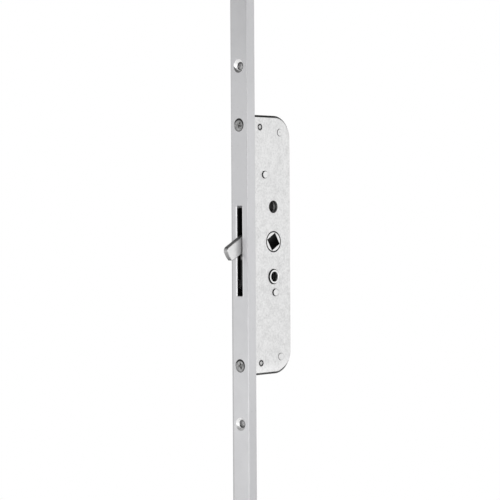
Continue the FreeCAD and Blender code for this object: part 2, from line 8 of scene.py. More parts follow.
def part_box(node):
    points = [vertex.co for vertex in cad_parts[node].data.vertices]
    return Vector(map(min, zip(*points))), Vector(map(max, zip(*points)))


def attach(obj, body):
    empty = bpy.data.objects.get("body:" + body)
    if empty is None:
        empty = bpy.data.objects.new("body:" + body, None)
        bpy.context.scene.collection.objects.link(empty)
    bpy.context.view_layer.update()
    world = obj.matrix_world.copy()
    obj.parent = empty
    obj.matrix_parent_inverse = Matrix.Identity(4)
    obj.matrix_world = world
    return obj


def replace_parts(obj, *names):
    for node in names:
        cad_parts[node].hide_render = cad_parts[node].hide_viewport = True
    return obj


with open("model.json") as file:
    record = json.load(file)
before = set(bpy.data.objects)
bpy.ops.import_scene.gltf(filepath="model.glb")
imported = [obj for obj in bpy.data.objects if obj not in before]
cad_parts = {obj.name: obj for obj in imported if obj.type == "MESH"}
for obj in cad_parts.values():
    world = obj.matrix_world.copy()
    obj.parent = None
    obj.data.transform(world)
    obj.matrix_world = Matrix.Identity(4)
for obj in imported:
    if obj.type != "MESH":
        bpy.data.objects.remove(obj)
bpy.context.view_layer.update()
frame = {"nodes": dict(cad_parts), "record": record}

mm = 0.001  # sizes are in mm and angles in degrees, but for the floor, the lamps and the camera
ends = (1, -1)  # the upper and the lower half, or the near and the far side
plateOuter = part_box("case_shell")[1][0] / mm  # the outer faces of the two side plates
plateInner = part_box("upper_screw_sleeve")[1][0] / mm  # their inner faces, where the upper sleeve ends
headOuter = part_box("tie_rivet")[1][0] / mm  # how far the heads of the solid rivets reach
mounts = {mount["name"]: mount for mount in frame["record"]["mounts"]}
print("cremone bolt: frame loaded,", len(frame["nodes"]), "nodes")


# Places that the record gives

def mountPlace(name):
    # where a mount lies on the side of the case, as (Y, Z)
    y, z = mounts[name]["pos_m"][1:]
    return (y / mm, z / mm)


def fixingHeights(name):
    half = mounts[name]["dims"]["spacing_y_mm"] / 2
    return [side * half for side in ends]


spindlePlace = mountPlace("spindle_square")
upperScrewPlace = mountPlace("upper_handle_screw")
lowerScrewPlace = mountPlace("lower_handle_screw")
innerFixings = fixingHeights("forend_fixing")
outerFixings = fixingHeights("forend_end_fixing")


# Small helpers for working as by hand

weldGap = 0.002 * mm
sameRadius = 0.000001
squareOn = 0.9  # a normal this long towards the back belongs to a face that looks back


def deselectAll():
    if bpy.context.mode != "OBJECT":
        bpy.ops.object.mode_set(mode="OBJECT")
    bpy.ops.object.select_all(action="DESELECT")


def makeActive(piece):
    deselectAll()
    piece.select_set(True)
    bpy.context.view_layer.objects.active = piece


def pickFaces(piece, test):
    # selects faces by their centre and normal, and leaves the piece in edit mode
    bpy.ops.object.mode_set(mode="OBJECT")
    mesh = piece.data
    for item in (mesh.vertices, mesh.edges, mesh.polygons):
        for one in item:
            one.select = False
    for face in mesh.polygons:
        face.select = bool(test(face.center, face.normal))
    bpy.ops.object.mode_set(mode="EDIT")
    bpy.ops.mesh.select_mode(type="FACE")


def cleanMesh():
    # from edit mode: merges doubles, turns the faces outwards and goes back to object mode
    bpy.ops.mesh.select_all(action="SELECT")
    bpy.ops.mesh.remove_doubles(threshold=weldGap)
    bpy.ops.mesh.normals_make_consistent(inside=False)
    bpy.ops.object.mode_set(mode="OBJECT")


def finishPiece(piece, name, body, smoothAngle=30.0):
    makeActive(piece)
    bpy.ops.object.transform_apply(location=True, rotation=True, scale=True)
    bpy.ops.object.mode_set(mode="EDIT")
    cleanMesh()
    bpy.ops.object.shade_smooth_by_angle(angle=math.radians(smoothAngle))
    piece.name = name
    piece.data.name = name
    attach(piece, body)
    return piece


def joinPieces(parts):
    deselectAll()
    for part in parts:
        part.select_set(True)
    bpy.context.view_layer.objects.active = parts[0]
    bpy.ops.object.join()
    return bpy.context.view_layer.objects.active


def makeBlock(centre, size, turn=(0, 0, 0)):
    # a block to be shaped or to cut with: its middle and size in mm, its turn in radians
    deselectAll()
    bpy.ops.mesh.primitive_cube_add(size=1, location=[part * mm for part in centre])
    block = bpy.context.active_object
    block.scale = [part * mm for part in size]
    block.rotation_euler = turn
    bpy.ops.object.transform_apply(location=True, rotation=True, scale=True)
    return block


def turnPiece(centre, axis, steps, corners=48):
    # a turned part: each step is (distance along the axis, radius), in mm
    deselectAll()
    along, radius = steps[0]
    start = Vector(centre) * mm + Vector(axis) * along * mm
    turn = Vector((0, 0, 1)).rotation_difference(Vector(axis)).to_euler()
    bpy.ops.mesh.primitive_circle_add(vertices=corners, radius=radius * mm, fill_type="NGON",
                                      location=start, rotation=turn)
    piece = bpy.context.active_object
    bpy.ops.object.mode_set(mode="EDIT")
    bpy.ops.mesh.select_all(action="SELECT")
    for nextAlong, nextRadius in steps[1:]:
        shift = Vector(axis) * (nextAlong - along) * mm
        start += shift
        bpy.ops.mesh.extrude_region_move(TRANSFORM_OT_translate={"value": shift})
        if abs(nextRadius - radius) > sameRadius:
            grow = nextRadius / radius
            size = [1.0 if part else grow for part in axis]
            bpy.ops.transform.resize(value=size, center_override=start)
        along, radius = nextAlong, nextRadius
    cleanMesh()
    return piece


def bothEnds(right):
    # steps for both sides of the case, in order from end to end
    return [(-along, radius) for along, radius in reversed(right)] + right


def cutWith(piece, cutter):
    makeActive(piece)
    cut = piece.modifiers.new("cut", "BOOLEAN")
    cut.operation = "DIFFERENCE"
    cut.solver = "EXACT"
    cut.object = cutter
    bpy.ops.object.modifier_apply(modifier=cut.name)
    bpy.data.objects.remove(cutter)


def softenEdges(piece, width, segments=2, angle=35.0):
    makeActive(piece)
    edge = piece.modifiers.new("soften", "BEVEL")
    edge.width = width * mm
    edge.segments = segments
    edge.limit_method = "ANGLE"
    edge.angle_limit = math.radians(angle)
    bpy.ops.object.modifier_apply(modifier=edge.name)


# Case screws: countersunk, with a cross recess and a cut thread

caseScrew = {
    "height": 73.3,
    "headTop": 0.35,  # how deep the head lies below the forend's face
    "faceRadius": 3.65,
    "rimRadius": 3.78,
    "rimDeep": 0.12,  # the head's rim is eased over this depth
    "coneEnd": 2.1,
    "shankRadius": 2.0,
    "crestRadius": 1.98,
    "rootRadius": 1.7,
    "threadFrom": 2.4,
    "threadTo": 9.2,
    "pitch": 0.7,
    "length": 10.0,
    "tip": 0.4,  # the chamfer at its point
    "recessArm": 2.3,
    "recessWide": 1.3,
    "recessDeep": 1.1,
    "recessTaper": 0.55,  # how wide the bottom of the recess is beside its top
    "cutAbove": 0.4,  # how far the cutter stands out of the head
    "soft": 0.06,
    "softAngle": 50.0,
    "turns": (22.0, -14.0),  # how far the upper and the lower cross are turned
}


def screwSteps():
    p = caseScrew
    steps = [(p["headTop"], p["faceRadius"]), (p["headTop"] + p["rimDeep"], p["rimRadius"]),
             (p["coneEnd"], p["shankRadius"])]
    along = p["threadFrom"]
    while along < p["threadTo"]:
        steps.append((along, p["crestRadius"]))
        steps.append((along + p["pitch"] / 2, p["rootRadius"]))
        along += p["pitch"]
    steps.append((p["length"] - p["tip"], p["rootRadius"]))
    steps.append((p["length"], p["rootRadius"] - p["tip"]))
    return steps


def makeRecessArm(height, turnDegrees):
    # one bar of the cross, narrower at its bottom
    p = caseScrew
    middle = (0, p["headTop"] + (p["recessDeep"] - p["cutAbove"]) / 2, height)
    size = (2 * p["recessArm"], p["recessDeep"] + p["cutAbove"], p["recessWide"])
    arm = makeBlock(middle, size, (0, math.radians(turnDegrees), 0))
    pickFaces(arm, lambda centre, normal: normal.y > squareOn)
    bottom = Vector((0, (p["headTop"] + p["recessDeep"]) * mm, height * mm))
    bpy.ops.transform.resize(value=(p["recessTaper"], 1, p["recessTaper"]), center_override=bottom)
    bpy.ops.object.mode_set(mode="OBJECT")
    return arm


def makeCaseScrew(side, turnDegrees):
    p = caseScrew
    height = side * p["height"]
    screw = turnPiece((0, 0, height), (0, 1, 0), screwSteps())
    for quarter in (0, 90):
        cutWith(screw, makeRecessArm(height, turnDegrees + quarter))
    softenEdges(screw, p["soft"], segments=1, angle=p["softAngle"])
    return screw


screws = [makeCaseScrew(side, turned) for side, turned in zip(ends, caseScrew["turns"])]
screwPiece = finishPiece(joinPieces(screws), "case_screw_pair", "frame")
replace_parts(screwPiece, "case_screws")
print("case screws made")


# Rivets: eased heads that stand a little proud of the plates

caseRivets = {
    "shank": 1.5,  # the guide rivet's radius between the plates
    "radius": 2.3,
    "rearPlace": (30.0, 69.3),  # each place is its Y and Z
    "guidePlace": (16.5, 43.2),
    "tiePlace": (25.2, -29.3),
    "proud": 0.42,  # how much further than the solid ones these heads reach
    "edge": 0.3,  # how far the edge of a head is eased
    "rearEdge": 0.25,
    "seat": 0.05,  # a head's wall starts this far inside the plate's outer face
}


def makeRivet(place, side, middle, end, edge):
    # middle is its radius between the plates, end is how far it reaches
    y, z = place
    radius = caseRivets["radius"]
    right = [(plateInner, middle), (plateInner, radius)] if middle != radius else []
    right += [(plateOuter - caseRivets["seat"], radius), (end - edge, radius), (end, radius - edge)]
    return turnPiece((0, y, side * z), (1, 0, 0), bothEnds(right))


# Rivets in the lugs: flush, and staked with four dents in a shallow groove

lugRivet = {
    "place": (12.6, 72.2),
    "radius": 2.19,
    # each step of its end is (how deep below the plate, how far in from the rim)
    "steps": ((0.0, 0.0), (0.0, 0.33), (0.32, 0.42), (0.32, 0.75), (0.1, 0.82), (0.0, 1.0)),
    "dents": 4,
    "dentAngle": 38.0,
    "dentOut": 1.4,  # a dent's cutter lies this far out from the middle
    "dentUp": 0.3,  # and this far above the plate
    "dentSize": (0.9, 0.9, 0.8),
    "dentSoft": 0.15,
}


def makeDent(side, face, turned):
    p = lugRivet
    y, z = p["place"]
    middle = (face * (plateOuter + p["dentUp"]), y + p["dentOut"] * math.cos(turned),
              side * z + p["dentOut"] * math.sin(turned))
    dent = makeBlock(middle, p["dentSize"], (turned, 0, 0))
    softenEdges(dent, p["dentSoft"], segments=1)
    return dent


def makeLugRivet(side):
    p = lugRivet
    y, z = p["place"]
    right = [(plateOuter - deep, p["radius"] - inset) for deep, inset in p["steps"]]
    rivet = turnPiece((0, y, side * z), (1, 0, 0), bothEnds(right))
    for count in range(p["dents"]):
        turned = math.radians(p["dentAngle"] + 360 / p["dents"] * count)
        for face in ends:
            cutWith(rivet, makeDent(side, face, turned))
    return rivet


lugPair = joinPieces([makeLugRivet(side) for side in ends])
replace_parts(finishPiece(lugPair, "lug_rivet_pair", "frame"), "lug_rivets")

rearPair = joinPieces([makeRivet(caseRivets["rearPlace"], side, caseRivets["radius"], headOuter,
                                 caseRivets["rearEdge"]) for side in ends])
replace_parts(finishPiece(rearPair, "rear_rivet_pair", "frame"), "rear_rivets")

proudEnd = headOuter + caseRivets["proud"]
guideRivet = makeRivet(caseRivets["guidePlace"], 1, caseRivets["shank"], proudEnd, caseRivets["edge"])
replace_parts(finishPiece(guideRivet, "slide_guide_rivet_head", "frame"), "slide_guide_rivet")

tieRivet = makeRivet(caseRivets["tiePlace"], 1, caseRivets["radius"], proudEnd, caseRivets["edge"])
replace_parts(finishPiece(tieRivet, "tie_rivet_head", "frame"), "tie_rivet")
print("rivets made")


# Lower screw sleeve: its eased collar stands proud of both plates

lowerSleeve = {
    "bore": mounts["lower_handle_screw"]["dims"]["r_mm"],
    "radius": 4.45,
    "mouth": 3.2,  # the radius of the bore at its ends
    "lip": 0.3,  # how far the collar's edge is eased
    "funnel": 0.15,  # the bore widens over this length
    "proud": 0.5,  # how much further than the solid rivets' heads it reaches
    "cutPast": 1.0,  # how far the bore's cutter goes past the collar
    "corners": 64,
}


def makeLowerSleeve():
    p = lowerSleeve
    y, z = lowerScrewPlace
    end = headOuter + p["proud"]
    outside = [(end - p["lip"], p["radius"]), (end, p["radius"] - p["lip"])]
    sleeve = turnPiece((0, y, z), (1, 0, 0), bothEnds(outside), p["corners"])
    mouth = [(end - p["funnel"], p["bore"]), (end, p["mouth"]),
             (end + p["cutPast"], p["mouth"] + p["cutPast"])]
    cutWith(sleeve, turnPiece((0, y, z), (1, 0, 0), bothEnds(mouth), p["corners"]))
    return sleeve


sleevePiece = finishPiece(makeLowerSleeve(), "lower_screw_sleeve_lip", "frame")
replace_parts(sleevePiece, "lower_screw_sleeve")
print("lower sleeve made")


# Rod guides: moulded blocks between the flanges, pocketed at the back

rodGuide = {
    "heights": (innerFixings[0], 150.0, 192.5, 268.0),
    "fronts": (4.8, 4.8, 4.8, 5.6),
    "back": 6.8,
    "length": 18.0,
    "half": 5.8,
    "middle": 1.0,  # its back is picked by the faces whose centres are this near to the middle
    "wall": 1.1,  # round the pocket
    "pocketDeep": 0.64,
    "ridgeIn": 2.2,  # from the pocket's foot to the ridge in it
    "ridgeHigh": 0.4,
    "draft": 0.2,  # how far the walls of pocket and ridge lean
    "soft": 0.25,
    "softAngle": 35.0,
}


def makeRodGuide(height, front):
    p = rodGuide
    depth = p["back"] - front
    guide = makeBlock((0, front + depth / 2, height), (2 * p["half"], depth, p["length"]))
    softenEdges(guide, p["soft"])
    pickFaces(guide, lambda centre, normal: normal.y > squareOn and abs(centre.x) < p["middle"] * mm)
    for inset, rise in ((p["wall"], 0), (p["draft"], -p["pocketDeep"]),
                        (p["ridgeIn"], 0), (p["draft"], p["ridgeHigh"])):
        bpy.ops.mesh.inset(thickness=inset * mm, depth=rise * mm)
    bpy.ops.object.mode_set(mode="OBJECT")
    return guide


guides = []
for guideHeight, guideFront in zip(rodGuide["heights"], rodGuide["fronts"]):
    guides += [makeRodGuide(side * guideHeight, guideFront) for side in ends]
guidePiece = finishPiece(joinPieces(guides), "rod_guide_blocks", "frame", rodGuide["softAngle"])
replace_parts(guidePiece, "rod_guides")
print("rod guides made")


# Short ways to add nodes

mixFirst, mixSecond, mixResult = 6, 7, 2  # the colour sockets of a Mix node


def feed(tree, value, socket):
    # a value is a socket to link, or a number or colour to set
    if isinstance(value, bpy.types.NodeSocket):
        tree.links.new(value, socket)
    else:
        socket.default_value = value


def mathNode(tree, operation, first, second=None, clamp=False):
    node = tree.nodes.new("ShaderNodeMath")
    node.operation = operation
    node.use_clamp = clamp
    feed(tree, first, node.inputs[0])
    if second is not None:
        feed(tree, second, node.inputs[1])
    return node.outputs[0]


def times(tree, first, *others):
    for other in others:
        first = mathNode(tree, "MULTIPLY", first, other)
    return first


def plus(tree, first, second):
    return mathNode(tree, "ADD", first, second)


def minus(tree, first, second):
    return mathNode(tree, "SUBTRACT", first, second)


def absolute(tree, value):
    return mathNode(tree, "ABSOLUTE", value)


def isOver(tree, value, limit):
    return mathNode(tree, "GREATER_THAN", value, limit)


def isUnder(tree, value, limit):
    return mathNode(tree, "LESS_THAN", value, limit)


def atLeast(tree, value, lowest):
    return mathNode(tree, "MAXIMUM", value, lowest)


def either(tree, first, second):
    # the stronger of two masks
    return mathNode(tree, "MAXIMUM", first, second)


def atMost(tree, value, highest):
    return mathNode(tree, "MINIMUM", value, highest)


def past(tree, value, start):
    # how far a value is past a start, and nothing before it
    return atLeast(tree, minus(tree, value, start), 0.0)


def longSide(tree, first, second):
    # the distance that two ways at a right angle make
    squares = [mathNode(tree, "POWER", part, 2.0) for part in (first, second)]
    return mathNode(tree, "SQRT", plus(tree, *squares))


def rampNode(tree, value, start, end, low=0.0, high=1.0, kind="SMOOTHSTEP"):
    ramp = tree.nodes.new("ShaderNodeMapRange")
    ramp.interpolation_type = kind
    ramp.inputs["From Min"].default_value = start
    ramp.inputs["From Max"].default_value = end
    ramp.inputs["To Min"].default_value = low
    ramp.inputs["To Max"].default_value = high
    tree.links.new(value, ramp.inputs["Value"])
    return ramp.outputs["Result"]


def slope(tree, value, start, end, amount=None):
    # rises from start to end with the size of a value, and to an amount if one is given
    ramp = rampNode(tree, absolute(tree, value), start, end)
    return ramp if amount is None else times(tree, ramp, amount)


def noiseNode(tree, vector, scale, detail, roughness):
    node = tree.nodes.new("ShaderNodeTexNoise")
    tree.links.new(vector, node.inputs["Vector"])
    feed(tree, scale, node.inputs["Scale"])
    node.inputs["Detail"].default_value = detail
    node.inputs["Roughness"].default_value = roughness
    return node.outputs["Fac"]


def splitVector(tree, vector):
    node = tree.nodes.new("ShaderNodeSeparateXYZ")
    tree.links.new(vector, node.inputs[0])
    return node.outputs


def mixColour(tree, factor, first, second):
    node = tree.nodes.new("ShaderNodeMix")
    node.data_type = "RGBA"
    tree.links.new(factor, node.inputs[0])
    for place, value in ((mixFirst, first), (mixSecond, second)):
        colour = value + (1,) if isinstance(value, tuple) else value
        feed(tree, colour, node.inputs[place])
    return node.outputs[mixResult]


# Shared effects, each one a node group

effectPlan = {
    "cloudDetail": 5.0,  # a detail is how many finer layers a noise has
    "fineDetail": 2.0,
    "grainDetail": 4.0,
    "broken": 0.6,  # the roughness of each noise
    "fineScale": 3.2,  # the speckle is this much finer than the clouds
    "contrast": 2.2,
    "edgeGain": 5.0,
    "edgeSamples": 6,
    "shelterSamples": 8,
}
floatSocket = "NodeSocketFloat"
vectorSocket = "NodeSocketVector"


def newGroup(name, inputs, outputs):
    # an input is (label, kind, value at the start), an output is (label, kind)
    group = bpy.data.node_groups.new(name, "ShaderNodeTree")
    for label, kind, value in inputs:
        socket = group.interface.new_socket(name=label, in_out="INPUT", socket_type=kind)
        if value is not None:
            socket.default_value = value
    for label, kind in outputs:
        group.interface.new_socket(name=label, in_out="OUTPUT", socket_type=kind)
    taken = group.nodes.new("NodeGroupInput").outputs
    given = group.nodes.new("NodeGroupOutput").inputs
    return group, taken, given


def makeBlotchGroup():
    # cloudy patches of plating, with finer speckle on them
    p = effectPlan
    inputs = [("Vector", vectorSocket, None), ("Scale", floatSocket, 0.25), ("Speckle", floatSocket, 0.3)]
    group, taken, given = newGroup("platingBlotch", inputs, [("Mask", floatSocket)])
    cloud = noiseNode(group, taken["Vector"], taken["Scale"], p["cloudDetail"], p["broken"])
    fineScale = times(group, taken["Scale"], p["fineScale"])
    fine = noiseNode(group, taken["Vector"], fineScale, p["fineDetail"], p["broken"])
    fine = times(group, minus(group, fine, 0.5), taken["Speckle"])
    cloud = times(group, minus(group, cloud, 0.5), p["contrast"])
    mask = mathNode(group, "ADD", plus(group, cloud, fine), 0.5, clamp=True)
    group.links.new(mask, given["Mask"])
    return group


def makeGrainGroup():
    # fine marks drawn out along the length
    p = effectPlan
    inputs = [("Vector", vectorSocket, None), ("Scale", floatSocket, 5.0), ("Stretch", floatSocket, 0.04)]
    group, taken, given = newGroup("drawnGrain", inputs, [("Height", floatSocket)])
    at = splitVector(group, taken["Vector"])
    joined = group.nodes.new("ShaderNodeCombineXYZ")
    group.links.new(at["X"], joined.inputs["X"])
    group.links.new(at["Y"], joined.inputs["Y"])
    group.links.new(times(group, at["Z"], taken["Stretch"]), joined.inputs["Z"])
    grain = noiseNode(group, joined.outputs[0], taken["Scale"], p["grainDetail"], p["broken"])
    group.links.new(grain, given["Height"])
    return group


def makeEdgeGroup():
    # where the surface turns a corner, and a normal that rounds it
    p = effectPlan
    group, taken, given = newGroup("edgeRubAndSheen", [("Radius", floatSocket, 0.3 * mm)],
                                   [("Mask", floatSocket), ("Normal", vectorSocket)])
    bevel = group.nodes.new("ShaderNodeBevel")
    bevel.samples = p["edgeSamples"]
    group.links.new(taken["Radius"], bevel.inputs["Radius"])
    geometry = group.nodes.new("ShaderNodeNewGeometry")
    dot = group.nodes.new("ShaderNodeVectorMath")
    dot.operation = "DOT_PRODUCT"
    group.links.new(bevel.outputs[0], dot.inputs[0])
    group.links.new(geometry.outputs["Normal"], dot.inputs[1])
    turned = minus(group, 1.0, dot.outputs["Value"])
    mask = mathNode(group, "MULTIPLY", turned, p["edgeGain"], clamp=True)
    group.links.new(mask, given["Mask"])
    group.links.new(bevel.outputs[0], given["Normal"])
    return group


def makeShadeAndDustGroup():
    # sheltered corners, found by ambient occlusion: painted shade in the colour, and dust and oil that make
    # them rougher
    inputs = [("Distance", floatSocket, 2.0 * mm), ("Amount", floatSocket, 1.0)]
    group, taken, given = newGroup("shelteredShadeAndDust", inputs, [("Mask", floatSocket)])
    shelter = group.nodes.new("ShaderNodeAmbientOcclusion")
    shelter.samples = effectPlan["shelterSamples"]
    group.links.new(taken["Distance"], shelter.inputs["Distance"])
    closed = minus(group, 1.0, shelter.outputs["AO"])
    mask = mathNode(group, "MULTIPLY", closed, taken["Amount"], clamp=True)
    group.links.new(mask, given["Mask"])
    return group


def placeGroup(tree, name, vector=None, **values):
    node = tree.nodes.new("ShaderNodeGroup")
    node.node_tree = groups[name]
    if vector is not None:
        tree.links.new(vector, node.inputs["Vector"])
    for label, value in values.items():
        node.inputs[label].default_value = value
    return node.outputs


groups = {
    "blotch": makeBlotchGroup(),
    "grain": makeGrainGroup(),
    "edge": makeEdgeGroup(),
    "shadeAndDust": makeShadeAndDustGroup(),
}
print("shared effects made")


# Finishes: what each one has where it doesn't say otherwise, then each one's own values

plainFinish = {
    "base": (0.7, 0.7, 0.7),
    "shade": (0.6, 0.6, 0.6),
    "edge": (0.8, 0.8, 0.8),
    "edgeAmount": 0.4,
    "edgeRadius": 0.25,
    "metal": 0.8,
    "rough": 0.42,
    "roughVary": 0.08,  # how much the blotches change the roughness
    "dustRough": 0.25,  # how much dust and oil add to it
    "blotch": 0.25,  # the scale of the blotches: a smaller number makes larger ones
    "speckle": 0.4,
    "grain": 5.0,  # the scale of the grain across its marks
    "stretch": 0.05,  # and how much of it is left along them
    "bump": 0.05,
    "bumpHeight": 0.02,
    # painted shade in sheltered corners, with dust that roughens them
    "shadeAndDust": 0.35,
    "shadeAndDustReach": 1.5,
    "shadeAndDustColour": (0.12, 0.115, 0.11),
    "side": 0.0,  # how strong the painted shade on the walls of a head or collar is
    "specks": 0.0,  # how strong the dark specks are
}

finishes = {
    "forend": {"base": (0.58, 0.58, 0.592), "shade": (0.55, 0.55, 0.562), "edge": (0.86, 0.86, 0.87),
               "metal": 0.35, "rough": 0.38, "blotch": 0.05, "speckle": 0.7, "grain": 1.4, "stretch": 0.01,
               "bump": 0.08, "edgeRadius": 0.28, "edgeAmount": 0.6, "shadeAndDust": 0.12, "specks": 0.1},
    "case": {"base": (0.715, 0.715, 0.715), "shade": (0.59, 0.59, 0.59), "edge": (0.76, 0.76, 0.76),
             "metal": 0.75, "rough": 0.46, "blotch": 0.22, "speckle": 2.6, "grain": 3.0, "stretch": 0.5,
             "bump": 0.14, "edgeAmount": 0.2, "specks": 0.18},
    "hub": {"base": (0.80, 0.80, 0.80), "shade": (0.72, 0.72, 0.72), "metal": 0.8, "rough": 0.36,
            "grain": 7.0, "stretch": 1.0, "bump": 0.06, "edgeAmount": 0.0, "edgeRadius": 0.2},
    "hook": {"base": (0.74, 0.74, 0.74), "shade": (0.62, 0.62, 0.62), "metal": 0.9, "rough": 0.36,
             "grain": 4.0, "stretch": 0.3, "bump": 0.06, "edgeRadius": 0.3, "edgeAmount": 0.1},
    "rods": {"base": (0.78, 0.78, 0.79), "shade": (0.68, 0.68, 0.69), "metal": 0.6, "rough": 0.42,
             "grain": 3.0, "stretch": 0.05, "shadeAndDust": 0.3},
    # painted shade: the inner steel is dark so that the inside of the case reads as shadow
    "shadedInnerSteel": {"base": (0.16, 0.16, 0.165), "shade": (0.10, 0.10, 0.10), "edge": (0.3, 0.3, 0.3),
                   "metal": 0.7, "rough": 0.5, "grain": 3.0, "stretch": 0.1, "shadeAndDust": 0.6},
    # painted glints: pale in patches and nearly black elsewhere
    "bore": {"base": (0.9, 0.9, 0.9), "shade": (0.01, 0.01, 0.01), "edge": (0.10, 0.10, 0.10),
             "metal": 0.8, "rough": 0.3, "blotch": 1.3, "grain": 3.0, "stretch": 1.0, "shadeAndDust": 0.5},
    "bolts": {"base": (0.66, 0.66, 0.67), "shade": (0.56, 0.56, 0.57), "metal": 0.9, "rough": 0.34,
              "grain": 4.0, "stretch": 0.06, "bump": 0.06, "edgeAmount": 0.5},
    "rivets": {"base": (0.76, 0.76, 0.76), "shade": (0.66, 0.66, 0.66), "metal": 0.8, "rough": 0.36,
               "grain": 6.0, "stretch": 1.0, "shadeAndDust": 0.5, "edgeAmount": 0.0, "side": 1.0},
    "lugRivets": {"base": (0.62, 0.62, 0.62), "shade": (0.3, 0.3, 0.3), "metal": 0.8, "rough": 0.42,
                  "blotch": 0.6, "grain": 6.0, "stretch": 1.0, "shadeAndDust": 0.5, "edgeAmount": 0.0,
                  "side": 0.9},
    "rearRivets": {"base": (0.72, 0.72, 0.72), "shade": (0.64, 0.64, 0.64), "metal": 0.8, "rough": 0.4,
                   "grain": 6.0, "stretch": 1.0, "shadeAndDust": 0.4, "edgeAmount": 0.0, "side": 0.6},
    "screws": {"base": (0.42, 0.42, 0.42), "shade": (0.14, 0.14, 0.14), "edge": (0.6, 0.6, 0.6),
               "metal": 0.8, "rough": 0.4, "blotch": 0.6, "grain": 6.0, "stretch": 1.0, "shadeAndDust": 0.8,
               "edgeAmount": 0.5},
    "sleeves": {"base": (0.84, 0.84, 0.84), "shade": (0.76, 0.76, 0.76), "metal": 0.85, "rough": 0.3,
                "grain": 6.0, "stretch": 1.0, "edgeAmount": 0.0},
    "guides": {"base": (0.022, 0.022, 0.024), "shade": (0.016, 0.016, 0.018), "edge": (0.06, 0.06, 0.062),
               "metal": 0.0, "rough": 0.5, "grain": 3.0, "stretch": 1.0, "bump": 0.15, "shadeAndDust": 0.2,
               "shadeAndDustColour": (0.05, 0.048, 0.045)},
}
shadeAndSpeckColour = (0.018, 0.018, 0.018)  # painted shade, and old oil in the dark specks
highlightAndPaleColour = (0.95, 0.95, 0.95)  # pale metal for painted highlights, and a paler tone at the lug rivets' rims
wallShadeSlope = (0.97, 0.75)  # the X of the normal where the wall of a head begins and is full
speckPlan = {"scale": 0.6, "detail": 2.0, "broken": 0.5, "from": 0.66, "full": 0.74}


# Boxes of painted shade, and a painted highlight on the slot's rims

# each is how strong, then (axis letter, lowest, highest) in mm
paintedShadeBoxes = {
    "forend": [(1.0, ("X", -5.82, 5.82), ("Y", 1.88, 6.79)),  # between the flanges
               (1.0, ("X", -2.32, 2.32), ("Y", 0.4, 1.95), ("Z", -31.0, 22.7)),  # the slot's walls
               (0.6, ("X", -2.32, 2.32), ("Y", 0.4, 1.95), ("Z", 22.7, 24.7))],  # its upper end
    "bore": [(1.0, ("X", -6.0, 2.1)), (0.9, ("X", 3.7, 6.0))],  # painted shade on all but a strip, which is left as a painted glint
}
paintedHighlightBoxes = {
    "forend": [(0.55, ("X", -3.3, 3.3), ("Y", -0.01, 0.45), ("Z", -31.2, 23.5))],
}


def within(tree, value, low, high):
    return times(tree, isOver(tree, value, low), isUnder(tree, value, high))


def boxMask(tree, at, amount, *limits):
    spans = [within(tree, at[letter], low, high) for letter, low, high in limits]
    return times(tree, *spans, amount)


# Rings of painted shade, and pale rings: painted highlights in the countersinks, on the wall of a hole and
# behind the fixing holes, and a paler tone at the lug rivets' rims

hair = 0.001  # a depth from nothing takes in the middle plane itself
anyDepth = (0, 50)  # right through the part
sleeveBore = (0, 3.15)
rearY, rearZ = caseRivets["rearPlace"]
lugPlaces = [(lugRivet["place"][0], side * lugRivet["place"][1]) for side in ends]
screwHeights = [side * caseScrew["height"] for side in ends]
fixings = innerFixings + outerFixings
sinkShades = [(height, 0.8 if height > 0 else 0.4) for height in fixings]  # painted shade on their lower sides, stronger in the upper holes

# each is its plane and middle, the least and greatest distance from that, the least and greatest depth
# from the part's middle plane or the forend's face, all in mm, and how strong it is
paintedShadeRings = {
    "hub": [("YZ", spindlePlace, (0, 5.75), (0, plateOuter - 0.02), 1.0),
            ("YZ", spindlePlace, (5.74, 6.3), anyDepth, 1.0)],
    "case": [("YZ", spindlePlace, (6.0, 6.56), anyDepth, 1.0),
             ("YZ", lowerScrewPlace, (4.5, 4.74), anyDepth, 1.0)],
    "sleeves": [("YZ", lowerScrewPlace, sleeveBore, (0, 2.6), 1.0),
                ("YZ", lowerScrewPlace, sleeveBore, (2.6, 3.5), 0.85),
                ("YZ", lowerScrewPlace, sleeveBore, (3.5, 4.2), 1.0),
                ("YZ", lowerScrewPlace, sleeveBore, (4.2, 5.75), 0.8),
                ("YZ", lowerScrewPlace, (4.12, 4.7), anyDepth, 1.0)],
    "screws": [("XZ", (-0.5, height - 0.55), (3.35, 9), anyDepth, 0.95) for height in screwHeights]
            + [("XZ", (0, height), (3.6, 9), anyDepth, 0.4) for height in screwHeights],
    "forend": [("XZ", (-0.3, height - 0.3), (3.65, 4.5), (0.03, 3), 0.9) for height in screwHeights]
            + [("XZ", (0, height), (3.5, 4.1), (0.03, 3), 0.5) for height in screwHeights]
            + [("XZ", (0.15, height + 1.5), (4.2, 5.7), (0.05, 1.7), shade) for height, shade in sinkShades]
            + [("XZ", (0, height), (2.2, 2.5), (0.3, 3), 0.9) for height in fixings],
    "lugRivets": [("YZ", place, (1.15, 2.0), anyDepth, 0.85) for place in lugPlaces],
    "rearRivets": [("YZ", (rearY + 0.35, rearZ), (2.4, 9), anyDepth, 0.75),
                   ("YZ", (rearY - 0.1, rearZ + 0.2), (0, 0.5), anyDepth, 0.3)],
}
highlightAndPaleRings = {
    "case": [("YZ", upperScrewPlace, (3.7, 3.95), (4.5, 5.69), 0.3)],
    "rods": [("XZ", (0, height), (0, 3.2), (3.0, 4.7), 1.0) for height in fixings],
    "guides": [("XZ", (-3.5, height), (0, 2.3), (4.7, 5.0), 1.0) for height in innerFixings],
    "lugRivets": [("YZ", place, (2.0, 2.3), (5.6, 7), 0.3) for place in lugPlaces],
    "forend": [("XZ", (0, height), (2.45, 4.05), (0.02, 1.7), 1.0) for height in fixings],
}


def ringMask(tree, at, plane, middle, reach, depth, amount):
    sides = [absolute(tree, minus(tree, at[letter], centre)) for letter, centre in zip(plane, middle)]
    ring = within(tree, longSide(tree, *sides), *reach)
    near, far = depth
    deep = absolute(tree, at["Y" if plane == "XZ" else "X"])
    return times(tree, ring, within(tree, deep, near - hair, far), amount)
